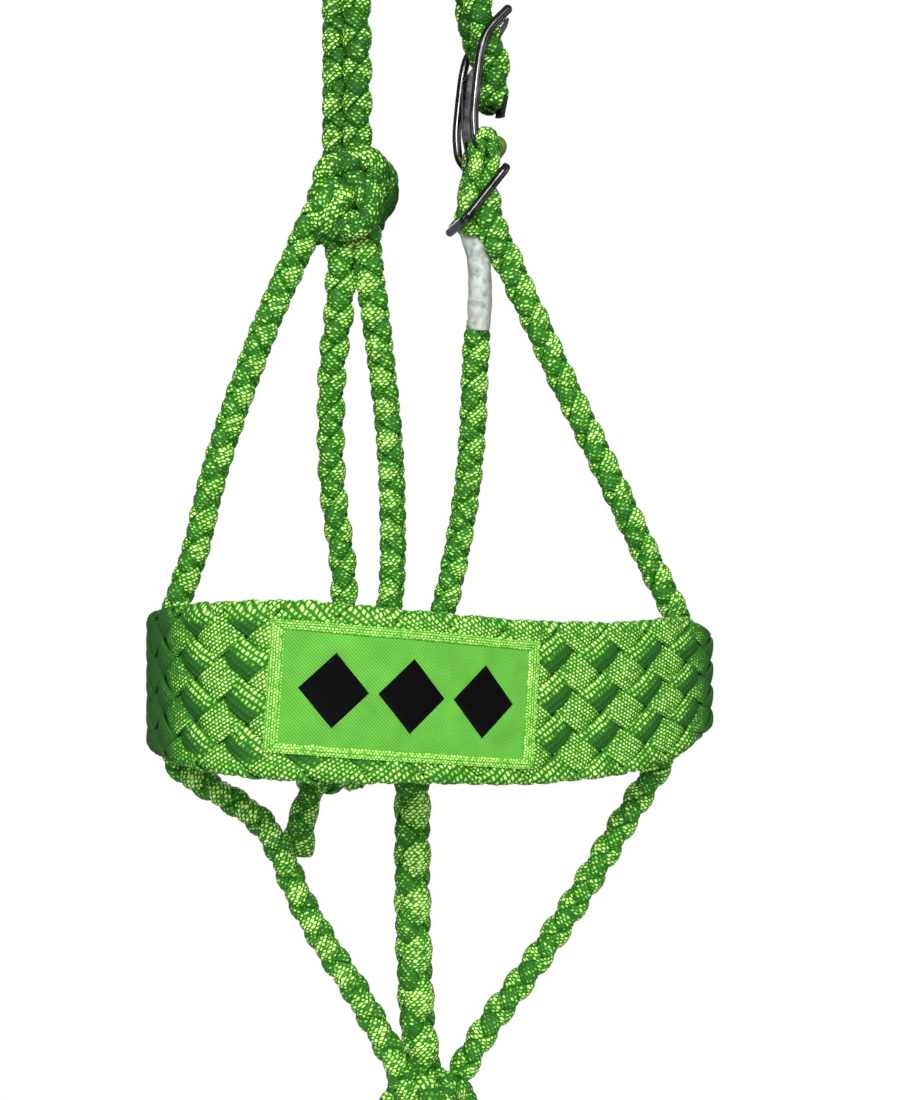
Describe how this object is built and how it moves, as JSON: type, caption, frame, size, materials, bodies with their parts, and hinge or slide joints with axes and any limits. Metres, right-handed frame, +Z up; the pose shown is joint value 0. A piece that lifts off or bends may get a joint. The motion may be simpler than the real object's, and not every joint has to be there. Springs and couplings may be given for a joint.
{
  "type": "horse halter",
  "caption": "Rope halter hanging from its crown: braided cheek, throat and chin ropes, a wide plaited noseband with a sewn patch, a tongue buckle and a keeper ring.",
  "frame": {"origin": "top of the crown loop, where the halter hangs", "axes": "+Z up, the noseband's front faces -Y, +X towards the buckle side"},
  "size_m": [0.2676, 0.1427, 0.8035],
  "materials": {
    "rope": "braided flat polyester tape, lime green with bright yellow-green flecks, semi-gloss",
    "webbing": "plaited ribbed lime green tape, semi-gloss",
    "panel_fabric": "fine green twill, matt",
    "black_thread": "dense black satin stitch",
    "white_tape": "wrapped white electrical tape, semi-gloss, lumpy",
    "dark_metal": "polished black nickel",
    "melted_end": "melted polyester rope end, dark green, slightly glossy"
  },
  "bodies": {
    "crown": {"crown_strand_front": "rope", "crown_strand_rear": "rope", "side_knot_left": "rope", "crown_tip_crimp": "dark_metal", "buckle_frame": "dark_metal", "cheek_fold": "rope", "throat_fold": "rope", "rope_end_nub": "melted_end"},
    "tongue": {"buckle_tongue": "dark_metal"},
    "keeper": {"keeper_ring": "dark_metal"},
    "headstall": {"cheek_rope_left": "rope", "cheek_rope_right": "rope", "throat_rope_left_outer": "rope", "throat_rope_left_inner": "rope", "throat_rope_right": "rope", "throat_splice_tape": "white_tape", "throat_knot": "rope", "noseband": "webbing", "patch_panel": "panel_fabric", "patch_hem": "webbing", "patch_motif": "black_thread", "noseband_end_left": "webbing", "noseband_end_right": "webbing"},
    "tail": {"knot_tail": "rope"},
    "chin": {"chin_rope_left": "rope", "chin_rope_right": "rope", "chin_riser_rope": "rope", "chin_knot": "rope"},
    "loop": {"lead_loop": "rope"}
  },
  "joints": [
    {"name": "headstall_swing", "type": "hinge", "parent": "crown", "child": "headstall", "pos_m": [0, 0, -0.309], "axis": [1, 0, 0], "range_deg": [-30, 30]},
    {"name": "tongue_turn", "type": "hinge", "parent": "crown", "child": "tongue", "pos_m": [0.029, 0, -0.264], "axis": [-0.225, 0.9744, 0], "range_deg": [0, 65]},
    {"name": "keeper_slide", "type": "slide", "parent": "crown", "child": "keeper", "axis": [0, 0, 1], "range_m": [0, 0.003]},
    {"name": "tail_swing", "type": "hinge", "parent": "headstall", "child": "tail", "pos_m": [-0.0465, 0.032, -0.5665], "axis": [1, 0, 0], "range_deg": [-15, 25]},
    {"name": "chin_swing", "type": "hinge", "parent": "headstall", "child": "chin", "pos_m": [-0.108, 0.009, -0.548], "axis": [0.9981, 0.0613, 0], "range_deg": [-30, 10]},
    {"name": "loop_swing", "type": "hinge", "parent": "chin", "child": "loop", "pos_m": [0.007, 0.009, -0.7385], "axis": [1, 0, 0], "range_deg": [-40, 40]}
  ]
}
